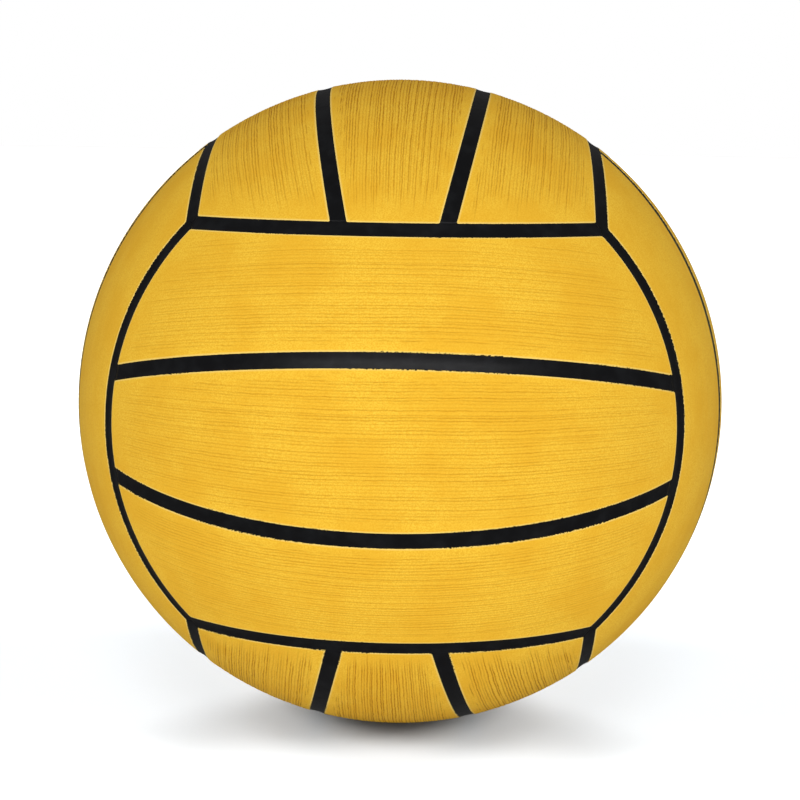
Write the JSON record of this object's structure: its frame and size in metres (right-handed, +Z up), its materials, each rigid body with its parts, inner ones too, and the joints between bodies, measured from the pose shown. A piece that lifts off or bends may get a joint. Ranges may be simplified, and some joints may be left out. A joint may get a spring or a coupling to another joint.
{
  "type": "water polo ball",
  "caption": "Inflated rubber water polo ball with panelled grip cover, recessed black seams, wound carcass, bladder and needle valve.",
  "frame": {"origin": "centre of the ball", "axes": "+Z up; the front face, whose panels run left to right, looks along -Y; the valve is on +Y; +X is to the right seen from the front"},
  "size_m": [0.2212, 0.2211, 0.2212],
  "materials": {
    "cover_rubber": "yellow moulded rubber with fine grip ribs, satin",
    "seam_rubber": "smooth black moulded rubber, satin",
    "carcass_rubber": "plain black rubber sheet, matt",
    "nylon_winding": "natural nylon thread, wound in all directions",
    "butyl_rubber": "plain black butyl rubber, matt",
    "valve_rubber": "black moulded rubber, satin",
    "plug_rubber": "soft black rubber, slightly glossy"
  },
  "bodies": {
    "root": {"front_middle_panel": "cover_rubber", "back_middle_panel": "cover_rubber", "top_middle_panel": "cover_rubber", "bottom_middle_panel": "cover_rubber", "right_middle_panel": "cover_rubber", "left_middle_panel": "cover_rubber", "front_upper_panel": "cover_rubber", "front_lower_panel": "cover_rubber", "back_lower_panel": "cover_rubber", "back_upper_panel": "cover_rubber", "top_left_panel": "cover_rubber", "top_right_panel": "cover_rubber", "bottom_right_panel": "cover_rubber", "bottom_left_panel": "cover_rubber", "right_back_panel": "cover_rubber", "right_front_panel": "cover_rubber", "left_back_panel": "cover_rubber", "left_front_panel": "cover_rubber", "front_upper_seam": "seam_rubber", "front_lower_seam": "seam_rubber", "back_lower_seam": "seam_rubber", "back_upper_seam": "seam_rubber", "top_left_seam": "seam_rubber", "top_right_seam": "seam_rubber", "bottom_right_seam": "seam_rubber", "bottom_left_seam": "seam_rubber", "right_back_seam": "seam_rubber", "right_front_seam": "seam_rubber", "left_back_seam": "seam_rubber", "left_front_seam": "seam_rubber", "front_right_edge_seam": "seam_rubber", "front_left_edge_seam": "seam_rubber", "back_right_edge_seam": "seam_rubber", "back_left_edge_seam": "seam_rubber", "top_back_edge_seam": "seam_rubber", "top_front_edge_seam": "seam_rubber", "bottom_back_edge_seam": "seam_rubber", "bottom_front_edge_seam": "seam_rubber", "right_lower_edge_seam": "seam_rubber", "right_upper_edge_seam": "seam_rubber", "left_upper_edge_seam": "seam_rubber", "left_lower_edge_seam": "seam_rubber", "carcass": "carcass_rubber", "winding": "nylon_winding", "bladder": "butyl_rubber", "valve_boot": "valve_rubber", "valve_plug": "plug_rubber"}
  },
  "joints": []
}
